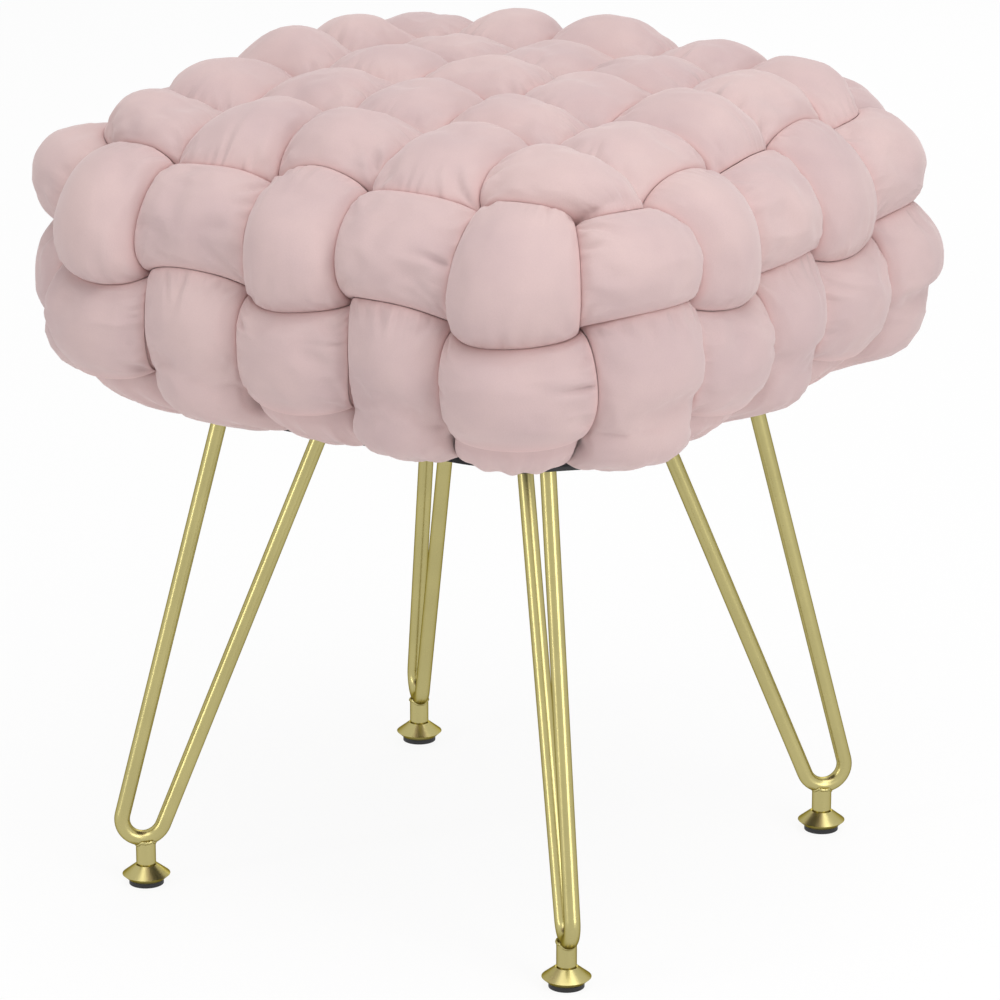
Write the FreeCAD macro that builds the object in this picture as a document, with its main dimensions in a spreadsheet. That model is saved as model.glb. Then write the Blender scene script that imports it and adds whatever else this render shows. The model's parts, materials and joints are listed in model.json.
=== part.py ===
"""Square footstool: a seat woven from stuffed tubes on four hairpin legs.

Units are millimetres. +Z is up, -Y is the front, and the origin is on the floor under the middle
of the seat.

The seat is laid out on one rounded box, the crease surface, where the corners of neighbouring
puffs meet. Five tubes run across the seat, five run along it, and two rings go round its sides.
Every crossing is a cell. In its cell the upper tube is a dome over a saddle and the lower tube is
pressed flat under the same saddle, so both take their shape from one formula and never overlap.
"""
import FreeCAD, Part
import Sketcher
import os
import re
from collections import namedtuple
from functools import cache
from math import asin, atan2, copysign, cos, hypot, pi, radians, sin, sqrt, tan
from FreeCAD import Placement, Rotation, Vector

SIZES = {
    # legs and feet
    "foot_spacing": (300.0, "between foot centres, along each side"),
    "pad_radius": (10.5, "black glide pad"),
    "pad_thickness": (3.0, "glide pad, floor to disc"),
    "stem_radius": (3.0, "pad stem inside the disc"),
    "stem_length": (2.6, "pad stem inside the disc"),
    "rim_radius": (14.5, "widest part of the double cone"),
    "rim_height": (3.2, "pad top to the rim"),
    "disc_foot_radius": (10.9, "double cone where it meets the pad"),
    "disc_height": (9.4, "pad top to the neck"),
    "neck_radius": (6.6, "top of the double cone"),
    "collar_radius": (5.2, "bright ring between disc and post"),
    "collar_height": (1.0, "bright ring between disc and post"),
    "stud_radius": (4.0, "threaded stud of the foot"),
    "stud_length": (7.4, "stud inside the post when screwed home"),
    "running_gap": (0.08, "round a stud or stem, on the radius"),
    "post_radius": (6.0, "post under the rod bend"),
    "post_height": (14.6, "post, up to its coped end"),
    "weld_gap": (0.05, "between the coped post and the rod"),
    "rod_radius": (4.75, "bent leg rod"),
    "bend_radius": (13.0, "rod centreline in the bottom bend"),
    "bend_rise": (15.6, "post bottom to the rod centreline at its lowest"),
    "bend_shift": (1.1, "bend centre outside the foot centre"),
    "lean_outer": (14.51, "outer rod from upright, degrees"),
    "lean_inner": (22.46, "inner rod from upright, degrees"),
    # plates, screws and boards
    "base_height": (300.0, "floor to the underside of the base panel"),
    "plate_margin": (7.0, "leg plate beyond the middles of the rod tops"),
    "plate_width": (50.0, "leg plate across"),
    "plate_corner": (8.0, "leg plate corner radius"),
    "plate_thickness": (3.0, "leg plate"),
    "screw_inset": (18.0, "plate's ends to the screws"),
    "screw_pitch_wide": (34.0, "screw spacing across the plate"),
    "screw_radius": (3.0, "plate screw"),
    "screw_head_radius": (5.5, "plate screw head"),
    "screw_head_height": (3.0, "plate screw head"),
    "screw_hole_gap": (0.3, "round a screw in plate and panel, on the radius"),
    "nut_radius": (4.6, "threaded insert nut"),
    "nut_length": (13.0, "threaded insert nut"),
    "panel_overhang": (13.0, "black base panel beyond the seat board"),
    "panel_corner": (74.0, "black base panel"),
    "panel_thickness": (6.0, "black base panel"),
    "board_margin": (9.2, "plywood seat board beyond the plates' outer screws, at its corners"),
    "board_corner": (45.0, "plywood seat board"),
    "board_thickness": (18.0, "plywood seat board"),
    # woven seat
    "edge_radius": (49.0, "crease surface, top edge"),
    "corner_radius": (76.0, "crease surface, upright corners"),
    "crown": (14.5, "rise of the top at its middle"),
    "tube_pitch": (68.7, "between neighbouring tubes"),
    "edge_reach": (28.1, "last tube's centre to the upper ring"),
    "edge_overhang": (23.0, "crease surface's sides beyond the upper ring's upper crease"),
    "upper_ring_width": (52.5, "upper ring along the side"),
    "lower_ring_width": (60.5, "lower ring along the side"),
    "puff_height": (35.0, "top of a puff over the crease surface"),
    "shoulder": (26.0, "height of a puff where the next tube dives under it"),
    "squash_depth": (28.0, "pressed tube under a crossing"),
    "tube_gap": (0.6, "half the gap between tubes at a crossing"),
    "nose_fill": (0.98, "share of a cell that a tube's width fills"),
    "tuck_height": (4.2, "middle of the tucked tube ends over the base panel"),
    "tuck_gap": (2.0, "tucked tube ends to the seat board"),
    "tuck_fall": (29.8, "lower ring's lower crease to the tucked tube ends"),
    "tuck_start": (12.0, "half thickness of a tube under the lower ring"),
    "tuck_end": (3.0, "half thickness of a tube at the seat board"),
    "foam_gap": (1.0, "foam core to the tubes"),
    "foam_upper_radius": (34.0, "foam core, upper edge"),
    "foam_lower_radius": (12.0, "foam core, lower edge"),
}

ROWS = range(-2, 3)
STEPS = (-0.6, 0.0, 0.6, 1.0)
SHARED = 0.6
CREST = 0.88
AROUND = (-1, -CREST, -SHARED, 0, SHARED, CREST, 1, SHARED, 0, -SHARED)
# Share of the way in under the seat, and gathered width, of a tube's last steps.
TUCKS = (0.33, 0.95), (0.66, 0.9), (1.0, 0.85)
CORNER_ANGLES = {"front_right": -45.0, "back_right": 45.0, "back_left": 135.0, "front_left": -135.0}

# The outline of a tube at one step along a cell.
Section = namedtuple("Section", "along points")

doc = FreeCAD.newDocument("Footstool")
sheet = doc.addObject("Spreadsheet::Sheet", "Sizes")
for row, (alias, (number, meaning)) in enumerate(SIZES.items(), start=1):
    sheet.set(f"A{row}", meaning)
    sheet.set(f"B{row}", str(number))
    sheet.setAlias(f"B{row}", alias)
doc.recompute()


def size(alias):
    return float(sheet.get(alias))


def expand(formula):
    """Write a sheet name in front of every alias of a formula."""
    return re.sub("[a-z_]+", lambda word: "Sizes." * (word[0] in SIZES) + word[0], formula)


def bind(item, **formulas):
    for prop, formula in formulas.items():
        item.setExpression(prop.replace("__", "."), expand(formula))
    return item


# Heights and reaches that several pieces share, as formulas of the sheet.
DISC_TOP = "pad_thickness + disc_height"
POST_BOTTOM = DISC_TOP + " + collar_height"
BEND_CENTRE = POST_BOTTOM + " + bend_rise + bend_radius"
FOOT_REACH = "foot_spacing * sqrt(0.5)"
PLATE_BOTTOM = "base_height - plate_thickness"
BOARD_BOTTOM = "base_height + panel_thickness"
BOARD_TOP = BOARD_BOTTOM + " + board_thickness"
# The rods' tops, the plate under both, and the boards that reach past the outer screws.
ROD_RISE = f"{PLATE_BOTTOM} - ( {BEND_CENTRE} )"
OUTER_TOP = (f"{FOOT_REACH} + bend_shift + bend_radius / cos(lean_outer)"
             f" - tan(lean_outer) * ( {ROD_RISE} )")
INNER_TOP = (f"{FOOT_REACH} + bend_shift - bend_radius / cos(lean_inner)"
             f" - tan(lean_inner) * ( {ROD_RISE} )")
PLATE_REACH = f"( {OUTER_TOP} + {INNER_TOP} ) / 2"
PLATE_LENGTH = f"( {OUTER_TOP} ) - ( {INNER_TOP} ) + 2 * plate_margin"
SCREW_PITCH = f"{PLATE_LENGTH} - 2 * screw_inset"
BOARD_REACH = f"{PLATE_REACH} + ( {SCREW_PITCH} ) / 2 + nut_radius + board_margin"
BOARD_WIDTH = f"( {BOARD_REACH} ) * sqrt(2) + board_corner * ( 2 - sqrt(2) )"
PANEL_WIDTH = f"{BOARD_WIDTH} + 2 * panel_overhang"
# The crease surface. Its width follows the tubes on top, and its height the rings on its sides.
EDGE_OF_TOP = "2 * tube_pitch + edge_reach"
EDGE_OF_SIDES = f"{EDGE_OF_TOP} + upper_ring_width + lower_ring_width"
CREASE_WIDTH = f"2 * ( {EDGE_OF_TOP} + edge_overhang )"
ROUND_END = f"( {CREASE_WIDTH} ) / 2 + edge_radius * ( pi / 2 - 1 )"
SIDE_DROP = f"edge_radius + {EDGE_OF_SIDES} - ( {ROUND_END} )"
CREASE_TOP = f"{BOARD_BOTTOM} + tuck_height + tuck_fall + {SIDE_DROP}"


def cylinder(name, radius, height, bottom, x="0", y="0"):
    item = doc.addObject("Part::Cylinder", name)
    return bind(item, Radius=radius, Height=height, Placement__Base__x=x,
                Placement__Base__y=y, Placement__Base__z=bottom)


def cone(name, lower, upper, height, bottom):
    item = doc.addObject("Part::Cone", name)
    return bind(item, Radius1=lower, Radius2=upper, Height=height, Placement__Base__z=bottom)


def fuse(name, shapes):
    item = doc.addObject("Part::MultiFuse", name)
    item.Shapes = shapes
    return item


def cut(name, base, tool):
    item = doc.addObject("Part::Cut", name)
    item.Base = base
    item.Tool = tool
    return item


def turn(item, corner, reach="0"):
    """Put a piece modelled over the origin on the diagonal of one corner."""
    angle = radians(CORNER_ANGLES[corner])
    item.Placement = Placement(Vector(), Rotation(Vector(0, 0, 1), CORNER_ANGLES[corner]))
    return bind(item, Placement__Base__x=f"( {reach} ) * {cos(angle)}",
                Placement__Base__y=f"( {reach} ) * {sin(angle)}")


def rounded_sketch(name, length, width, corner, height):
    """A rounded rectangle about the origin, its sizes bound to formulas of the sheet."""
    sketch = doc.addObject("Sketcher::SketchObject", name)
    half_x, half_y, radius = value(length) / 2, value(width) / 2, value(corner)
    centres = [(half_x - radius, half_y - radius), (radius - half_x, half_y - radius),
               (radius - half_x, radius - half_y), (half_x - radius, radius - half_y)]
    for index, (x, y) in enumerate(centres):
        circle = Part.Circle(Vector(x, y), Vector(0, 0, 1), radius)
        sketch.addGeometry(Part.ArcOfCircle(circle, index * pi / 2, (index + 1) * pi / 2))
    for index, (x, y) in enumerate(centres):
        x2, y2 = centres[(index + 1) % 4]
        out = Vector(cos((index + 1) * pi / 2), sin((index + 1) * pi / 2)) * radius
        sketch.addGeometry(Part.LineSegment(Vector(x, y) + out, Vector(x2, y2) + out))
    constrain = Constraints(sketch)
    for index in range(4):
        constrain.add("Tangent", index, 2, 4 + index, 1)
        constrain.add("Tangent", 4 + index, 2, (index + 1) % 4, 1)
    for index in (4, 6):
        constrain.add("Horizontal", index)
    for index in (5, 7):
        constrain.add("Vertical", index)
    for index in (1, 2, 3):
        constrain.add("Equal", 0, index)
    constrain.add("Symmetric", 0, 3, 2, 3, -1, 1)
    constrain.bound("Radius", f"( {corner} )", 0)
    constrain.bound("DistanceX", f"( {length} ) - 2 * ( {corner} )", 1, 3, 0, 3)
    constrain.bound("DistanceY", f"( {width} ) - 2 * ( {corner} )", 3, 3, 0, 3)
    return bind(sketch, Placement__Base__z=height)


class Constraints:
    """Adds constraints to a sketch, some of them bound to the sheet."""

    def __init__(self, sketch):
        self.sketch = sketch

    def add(self, *arguments):
        return self.sketch.addConstraint(Sketcher.Constraint(*arguments))

    def bound(self, kind, formula, *arguments):
        number = value(formula)
        if kind == "Angle":
            number = radians(number)
        index = self.add(kind, *arguments, number)
        self.sketch.setExpression(f"Constraints[{index}]", expand(formula))


@cache
def value(formula):
    """What a formula of the sheet comes to."""
    return float(sheet.evalExpression(formula))


def extrude(name, sketch, thickness):
    item = doc.addObject("Part::Extrusion", name)
    item.Base = sketch
    item.DirMode = "Normal"
    item.Solid = True
    return bind(item, LengthFwd=thickness)


def screw_pattern(name, radius, height, bottom, corner):
    """Four like cylinders at the screw places of one leg plate."""
    pieces = []
    for along in (-0.5, 0.5):
        for across in (-0.5, 0.5):
            pieces.append(cylinder(f"{name}_{len(pieces)}", radius, height, bottom,
                                   f"{PLATE_REACH} + {along} * ( {SCREW_PITCH} )",
                                   f"{across} * screw_pitch_wide"))
    return turn(fuse(name, pieces), corner)


def pattern_at_every_plate(name, radius, height, bottom):
    return fuse(name, [screw_pattern(f"{name}_{corner}", radius, height, bottom, corner)
                       for corner in CORNER_ANGLES])


# Feet: a pad that stays on the floor and a disc that screws in and out of the post.
def make_foot_pad(corner):
    pad = cylinder(f"pad_body_{corner}", "pad_radius", "pad_thickness", "0")
    stem = cylinder(f"pad_stem_{corner}", "stem_radius", "stem_length", "pad_thickness")
    return turn(fuse(f"foot_pad_{corner}", [pad, stem]), corner, FOOT_REACH)


def make_foot_disc(corner):
    lower = cone(f"disc_lower_{corner}", "disc_foot_radius", "rim_radius", "rim_height",
                 "pad_thickness")
    upper = cone(f"disc_upper_{corner}", "rim_radius", "neck_radius",
                 "disc_height - rim_height", "pad_thickness + rim_height")
    collar = cylinder(f"disc_collar_{corner}", "collar_radius", "collar_height", DISC_TOP)
    stud = cylinder(f"disc_stud_{corner}", "stud_radius", "stud_length", POST_BOTTOM)
    solid = fuse(f"disc_solid_{corner}", [lower, upper, collar, stud])
    socket = cylinder(f"disc_socket_{corner}", "stem_radius + running_gap",
                      "stem_length + 2 * running_gap", "pad_thickness")
    return turn(cut(f"foot_disc_{corner}", solid, socket), corner, FOOT_REACH)


# Legs: the post is coped to the bend of the rod, which is bent up from one straight bar.
def make_leg_post(corner):
    blank = cylinder(f"post_blank_{corner}", "post_radius", "post_height", POST_BOTTOM)
    bore = cylinder(f"post_bore_{corner}", "stud_radius + running_gap",
                    "stud_length + 4 * running_gap", POST_BOTTOM)
    ring = doc.addObject("Part::Torus", f"post_cope_{corner}")
    ring.Placement = Placement(Vector(), Rotation(Vector(1, 0, 0), 90))
    bind(ring, Radius1="bend_radius", Radius2="rod_radius + weld_gap",
         Placement__Base__x="bend_shift", Placement__Base__z=BEND_CENTRE)
    tools = fuse(f"post_tools_{corner}", [bore, ring])
    return turn(cut(f"leg_post_{corner}", blank, tools), corner, FOOT_REACH)


def rod_path(corner):
    """The rod's centreline in the leg's upright plane: outer run, bottom bend, inner run."""
    outer, inner = radians(size("lean_outer")), radians(size("lean_inner"))
    radius, centre_z = size("bend_radius"), value(BEND_CENTRE)
    centre = Vector(value(FOOT_REACH) + size("bend_shift"), centre_z)
    top = value(PLATE_BOTTOM) + 2 * size("rod_radius")
    outer_foot = centre + Vector(cos(outer), sin(outer)) * radius
    inner_foot = centre - Vector(cos(inner), -sin(inner)) * radius
    rise_outer, rise_inner = top - outer_foot.y, top - inner_foot.y
    outer_top = outer_foot + Vector(-tan(outer) * rise_outer, rise_outer)
    inner_top = inner_foot + Vector(-tan(inner) * rise_inner, rise_inner)
    sketch = doc.addObject("Sketcher::SketchObject", f"rod_path_{corner}")
    circle = Part.Circle(centre, Vector(0, 0, 1), radius)
    sketch.addGeometry(Part.LineSegment(outer_top, outer_foot))
    sketch.addGeometry(Part.ArcOfCircle(circle, pi - inner, 2 * pi + outer))
    sketch.addGeometry(Part.LineSegment(inner_foot, inner_top))
    constrain = Constraints(sketch)
    constrain.add("Tangent", 0, 2, 1, 2)
    constrain.add("Tangent", 2, 1, 1, 1)
    constrain.bound("Radius", "bend_radius", 1)
    constrain.bound("DistanceX", FOOT_REACH + " + bend_shift", -1, 1, 1, 3)
    constrain.bound("DistanceY", BEND_CENTRE, -1, 1, 1, 3)
    constrain.bound("DistanceY", PLATE_BOTTOM + " + 2 * rod_radius", -1, 1, 0, 1)
    constrain.bound("DistanceY", PLATE_BOTTOM + " + 2 * rod_radius", -1, 1, 2, 2)
    constrain.bound("Angle", "90 + lean_outer", -1, 1, 0, 2)
    constrain.bound("Angle", "90 + lean_inner", -1, 1, 2, 1)
    sketch.Placement = Placement(Vector(), Rotation(Vector(1, 0, 0), 90))
    return sketch, outer_top


def make_leg_rod(corner):
    path, start = rod_path(corner)
    section = doc.addObject("Part::Circle", f"rod_section_{corner}")
    section.Placement = Placement(Vector(start.x, 0, start.y),
                                  Rotation(Vector(0, 1, 0), -size("lean_outer")))
    bind(section, Radius="rod_radius")
    sweep = doc.addObject("Part::Sweep", f"rod_sweep_{corner}")
    sweep.Sections = [section]
    sweep.Spine = (path, ["Edge1", "Edge2", "Edge3"])
    sweep.Solid = True
    saw = doc.addObject("Part::Box", f"rod_saw_{corner}")
    bind(saw, Length=FOOT_REACH, Width="plate_width", Height="8 * rod_radius",
         Placement__Base__y="-0.5 * plate_width", Placement__Base__z=PLATE_BOTTOM)
    return turn(cut(f"leg_rod_{corner}", sweep, saw), corner)


def make_leg_plate(corner):
    outline = rounded_sketch(f"plate_outline_{corner}", PLATE_LENGTH, "plate_width",
                             "plate_corner", "0")
    blank = extrude(f"plate_blank_{corner}", outline, "plate_thickness")
    bind(blank, Placement__Base__x=PLATE_REACH, Placement__Base__z=PLATE_BOTTOM)
    holes = fuse(f"plate_holes_{corner}", [
        cylinder(f"plate_hole_{corner}_{along}_{across}", "screw_radius + screw_hole_gap",
                 "plate_thickness", PLATE_BOTTOM,
                 f"{PLATE_REACH} + {along} * ( {SCREW_PITCH} )", f"{across} * screw_pitch_wide")
        for along in (-0.5, 0.5) for across in (-0.5, 0.5)])
    return turn(cut(f"leg_plate_{corner}", blank, holes), corner)


# Boards and their fasteners.
def make_base_panel():
    outline = rounded_sketch("panel_outline", PANEL_WIDTH, PANEL_WIDTH, "panel_corner",
                             "base_height")
    blank = extrude("panel_blank", outline, "panel_thickness")
    holes = pattern_at_every_plate("panel_holes", "screw_radius + screw_hole_gap",
                                   "panel_thickness", "base_height")
    return cut("base_panel", blank, holes)


def make_seat_board():
    outline = rounded_sketch("board_outline", BOARD_WIDTH, BOARD_WIDTH, "board_corner",
                             BOARD_BOTTOM)
    blank = extrude("board_blank", outline, "board_thickness")
    sockets = pattern_at_every_plate("board_sockets", "nut_radius", "nut_length", BOARD_BOTTOM)
    return cut("seat_board", blank, sockets)


def make_insert_nuts():
    bodies = pattern_at_every_plate("nut_bodies", "nut_radius", "nut_length", BOARD_BOTTOM)
    threads = pattern_at_every_plate("nut_threads", "screw_radius + running_gap", "nut_length",
                                     BOARD_BOTTOM)
    return cut("insert_nuts", bodies, threads)


def make_plate_screws():
    shanks = pattern_at_every_plate("screw_shanks", "screw_radius",
                                    "plate_thickness + panel_thickness + nut_length - 1",
                                    PLATE_BOTTOM)
    heads = pattern_at_every_plate("screw_heads", "screw_head_radius", "screw_head_height",
                                   PLATE_BOTTOM + " - screw_head_height")
    return fuse("leg_plate_screws", [shanks, heads])


def is_upright(edge):
    box = edge.BoundBox
    return box.ZMax - box.ZMin > max(box.XMax - box.XMin, box.YMax - box.YMin)


def make_foam_core():
    """A block with a low dome on top, rounded like the crease surface but under the tubes."""
    inset = "squash_depth + foam_gap"
    width = f"{CREASE_WIDTH} - 2 * ( {inset} )"
    outline = rounded_sketch("foam_outline", width, width, f"corner_radius - ( {inset} )",
                             BOARD_TOP)
    block = extrude("foam_block", outline, f"{CREASE_TOP} + crown - ( {BOARD_TOP} )")
    dome = doc.addObject("Part::Sphere", "foam_dome")
    dome_radius = dome_span() ** 2 / (2 * size("crown"))
    dome.Radius = dome_radius
    bind(dome, Placement__Base__z=f"{CREASE_TOP} + crown - ( {inset} ) - {dome_radius}")
    core = doc.addObject("Part::MultiCommon", "foam_domed")
    core.Shapes = [block, dome]
    doc.recompute()
    rounding = doc.addObject("Part::Fillet", "foam_core")
    rounding.Base = core
    bottom = value(BOARD_TOP)
    wall = max(edge.Length for edge in core.Shape.Edges if is_upright(edge))
    upper = min(size("foam_upper_radius"), 0.5 * wall)
    lower = min(size("foam_lower_radius"), 0.4 * wall)
    edges = []
    for index, edge in enumerate(core.Shape.Edges, start=1):
        if is_upright(edge):
            continue
        box = edge.BoundBox
        radius = lower if abs(box.ZMax - bottom) < 1e-6 else upper
        edges.append((index, radius, radius))
    rounding.Edges = edges
    return rounding


# The crease surface, a rounded box, and the two ways of finding a point on it.
def dome_span():
    """Half the width over which the crown of the top falls to nothing."""
    return value(CREASE_WIDTH) / 2 + size("edge_reach")


def crown_rise(x, y):
    span = dome_span()
    return size("crown") * max(0.0, 1 - (x / span) ** 2) * max(0.0, 1 - (y / span) ** 2)


def profile(distance):
    """Reach, drop and slope of the surface at a distance from the middle, as one goes out over
    the top, down the side and, past its lower edge, in towards the seat board."""
    half, radius = value(CREASE_WIDTH) / 2, size("edge_radius")
    flat = half - radius
    round_end = flat + radius * pi / 2
    if distance <= flat:
        return distance, 0.0, 0.0
    if distance <= round_end:
        slope = (distance - flat) / radius
        return flat + radius * sin(slope), radius * (1 - cos(slope)), slope
    lower_edge = value(EDGE_OF_SIDES)
    if distance <= lower_edge:
        return half, radius + distance - round_end, pi / 2
    tuck_z = value(BOARD_BOTTOM) + size("tuck_height")
    side_drop = radius + lower_edge - round_end
    fall = value(CREASE_TOP) - side_drop - tuck_z
    run = tuck_run()
    way = tuck_share(distance) * pi / 2
    slope = pi / 2 + atan2(run * sin(way), fall * cos(way))
    return half - run * (1 - cos(way)), side_drop + fall * sin(way), slope


def tuck_run():
    """How far the tube ends go in under the seat, to the edge of the seat board."""
    return (value(CREASE_WIDTH) - value(BOARD_WIDTH)) / 2 - size("tuck_gap")


def tuck_share(distance):
    return min(1.0, max(0.0, (distance - value(EDGE_OF_SIDES)) / tuck_run()))


def corner_centre(distance=0.0):
    """Where the upright corners are centred. Under the seat they close in on the board's."""
    outer = value(CREASE_WIDTH) / 2 - size("corner_radius")
    inner = value(BOARD_WIDTH) / 2 - size("board_corner")
    return outer + (inner - outer) * tuck_share(distance)


def point_on_top(across, along, height):
    """A point at two surface distances from the middle of the top and a height off it."""
    inner = corner_centre()
    reach = profile(value(EDGE_OF_TOP))[0] - inner
    out_x = profile(abs(across))[0] - inner
    out_y = profile(abs(along))[0] - inner
    if out_x > 0 and out_y > 0:
        out_x, out_y = (out_x * sqrt(1 - (out_y / reach) ** 2 / 2),
                        out_y * sqrt(1 - (out_x / reach) ** 2 / 2))
    beyond = hypot(max(out_x, 0.0), max(out_y, 0.0))
    way_x, way_y = max(out_x, 0.0) / (beyond or 1.0), max(out_y, 0.0) / (beyond or 1.0)
    radius = size("edge_radius")
    lean = min(1.0, max(0.0, (inner + beyond - value(CREASE_WIDTH) / 2 + radius) / radius))
    upright = sqrt(1 - lean ** 2)
    x = copysign(inner + out_x + height * lean * way_x, across) if across else 0.0
    y = copysign(inner + out_y + height * lean * way_y, along) if along else 0.0
    z = value(CREASE_TOP) - radius * (1 - upright) + height * upright
    return Vector(x, y, z + crown_rise(x, y))


def point_on_side(sideways, distance, height):
    """A point on the right-hand side: sideways, outward and up, for one surface distance."""
    centre = corner_centre(distance)
    reach, drop, slope = profile(distance)
    reach += height * sin(slope)
    past = profile(abs(sideways))[0] - corner_centre()
    if past <= 0:
        x, out = reach, sideways * centre / corner_centre()
    else:
        whole = profile(value(EDGE_OF_TOP))[0] - corner_centre()
        angle = asin(min(1.0, past / whole) * sqrt(0.5))
        x = centre + (reach - centre) * cos(angle)
        out = copysign(centre + (reach - centre) * sin(angle), sideways)
    fade = max(0.0, 1 - max(0.0, distance - value(EDGE_OF_TOP)) / size("upper_ring_width"))
    z = value(CREASE_TOP) - drop + height * cos(slope)
    return Vector(x, out, z + fade * crown_rise(x, out))


# The shape of a tube inside a cell. Both places run from -1 to 1 across the cell.
def fall_off(place):
    return 1 - sqrt(1 - min(1.0, abs(place)) ** 2)


def straight_fall(place):
    """fall_off with straight lines between the places that crossing tubes share."""
    place = abs(place)
    if place <= SHARED:
        return fall_off(SHARED) * place / SHARED
    return fall_off(SHARED) + (1 - fall_off(SHARED)) * (place - SHARED) / (1 - SHARED)


def saddle(along, across):
    """Height between the two tubes, along and across the upper one."""
    return size("shoulder") * (straight_fall(across) - straight_fall(along))


def upper_surface(is_over, along, across):
    """Top of a tube, for a place along it and a place across it."""
    gap = size("tube_gap")
    if not is_over:
        return saddle(across, along) - gap
    rise_along, rise_across = 1 - straight_fall(along), 1 - straight_fall(across)
    shoulder = size("shoulder")
    dome = size("puff_height") - 2 * shoulder
    low = gap if abs(along) == 1 else 0.0
    return shoulder * (rise_along + rise_across) + dome * rise_along * rise_across - low


def lower_surface(is_over, along, across):
    gap, shoulder = size("tube_gap"), size("shoulder")
    if is_over or abs(along) == 1:
        return saddle(along, across) + gap
    depth, sunk = size("squash_depth"), straight_fall(along)
    return (depth - shoulder) * sunk - depth + (shoulder * straight_fall(across) + gap) * sunk


def tube_section(place, is_over, along):
    """A tube's outline at one step along its cell. place(across, height) finds each point."""
    def at(surface, across):
        return place(across, surface(is_over, along, across))

    def towards_edge(inner, outer, share):
        return inner + (outer - inner) * ((share - SHARED) / (1 - SHARED))

    def nose(side):
        fill = size("nose_fill")
        if abs(along) == 1:
            return towards_edge(place(side * SHARED, 0.0), place(side, 0.0), fill)
        surface = lower_surface if is_over else upper_surface
        return towards_edge(at(surface, side * SHARED), at(surface, side), fill)

    def crest(side):
        """Only an upper tube bulges between the shared line and its nose."""
        if abs(along) == 1 or not is_over:
            return nose(side)
        straight = towards_edge(at(upper_surface, side * SHARED), at(upper_surface, side), CREST)
        bulge = (straight_fall(CREST) - fall_off(CREST)) * (1 - straight_fall(along))
        lift = bulge * size("puff_height")
        return straight + place(side * CREST, lift) - place(side * CREST, 0.0)

    upper = [at(upper_surface, across) for across in (-SHARED, 0.0, SHARED)]
    lower = [at(lower_surface, across) for across in (SHARED, 0.0, -SHARED)]
    return Section(along, [nose(-1), crest(-1), *upper, crest(1), nose(1), *lower])


def tucked_section(place, share, gather):
    """The flatter outline of a tube end that is drawn in under the seat."""
    fill = size("nose_fill") * gather
    half_thickness = size("tuck_start") + (size("tuck_end") - size("tuck_start")) * share
    rise = (0, 0.55, 0.85, 1, 0.85, 0.55, 0, -0.85, -0.9, -0.85)
    return Section(1.0, [place(across * fill, up * half_thickness)
                         for across, up in zip(AROUND, rise)])


def cell_distance(centre, place, inner_half, outer_half):
    """Surface distance of a place in a cell whose halves may differ in length."""
    outward = place * centre > 0 if centre else False
    return centre + place * (outer_half if outward else inner_half)


def across_of_tube(row, place):
    """Sideways distance of a place across the tube of a row: the outermost rows are narrower
    on their outer side, where the ring starts."""
    pitch = size("tube_pitch")
    outer = size("edge_reach") if abs(row) == max(ROWS) else pitch / 2
    return cell_distance(row * pitch, place, pitch / 2, outer)


def woven_tube(row, runs_across):
    """Sections of one tube from its tucked end on one side to the one on the other side."""
    def over_on_top(column):
        return ((row + column) % 2 == 0) == runs_across

    def side_place(side, distance):
        def place(across, height):
            out, sideways, z = point_on_side(across_of_tube(row, across), distance, height)
            return Vector(side * out, sideways, z) if runs_across else Vector(sideways,
                                                                              side * out, z)
        return place

    def top_place(distance):
        def place(across, height):
            sideways = across_of_tube(row, across)
            if runs_across:
                return point_on_top(distance, sideways, height)
            return point_on_top(sideways, distance, height)
        return place

    upper_ring, lower_ring = size("upper_ring_width"), size("lower_ring_width")

    def side_sections(side):
        over_upper = not over_on_top(side * max(ROWS))
        sections = [tube_section(side_place(side, value(EDGE_OF_TOP)), over_upper, 1.0)]
        start = value(EDGE_OF_TOP)
        for width, is_over in ((upper_ring, over_upper), (lower_ring, not over_upper)):
            for step in STEPS:
                distance = start + (1 + step) * width / 2
                sections.append(tube_section(side_place(side, distance), is_over, step))
            start += width
        for share, gather in TUCKS:
            place = side_place(side, value(EDGE_OF_SIDES) + share * tuck_run())
            sections.append(tucked_section(place, share, gather))
        return sections

    top = []
    for column in ROWS:
        for step in STEPS:
            if column == max(ROWS) and step == 1.0:
                continue
            distance = across_of_tube(column, step)
            top.append(tube_section(top_place(distance), over_on_top(column), step))
    return side_sections(-1)[::-1] + top + side_sections(1)


def woven_ring(start, width, is_upper):
    """Sections of one ring round the four sides, cell by cell."""
    sections = []
    for quarter in range(4):
        spin = Rotation(Vector(0, 0, 1), 90 * quarter)
        for row in ROWS:
            # Tubes across the seat end at the right and left sides, where even rows end on top.
            ends_on_top = row % 2 == 0 if quarter % 2 == 0 else row % 2 != 0
            is_over = ends_on_top if is_upper else not ends_on_top
            for step in STEPS:
                sideways = across_of_tube(row, step)

                def place(across, height):
                    distance = start + (1 + across) * width / 2
                    return spin.multVec(point_on_side(sideways, distance, height))
                sections.append(tube_section(place, is_over, step))
    return sections


def facet(*corners):
    return Part.Face(Part.makePolygon([*corners, corners[0]]))


def quad_facets(one, other, index):
    """Two facets between neighbouring sections. Their diagonal runs from the corner nearest to
    the middle of the cell, so the tubes above and below a saddle are split alike."""
    after = (index + 1) % len(AROUND)
    near, far = one.points[index], one.points[after]
    far_next, near_next = other.points[after], other.points[index]
    rises = abs(other.along) > abs(one.along)
    widens = abs(AROUND[after]) > abs(AROUND[index])
    if rises == widens:
        triangles = (near, far, far_next), (near, far_next, near_next)
    else:
        triangles = (near, far, near_next), (far, far_next, near_next)
    return [facet(a, b, c) for a, b, c in triangles
            if (b - a).cross(c - a).Length > 1e-6]


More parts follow.
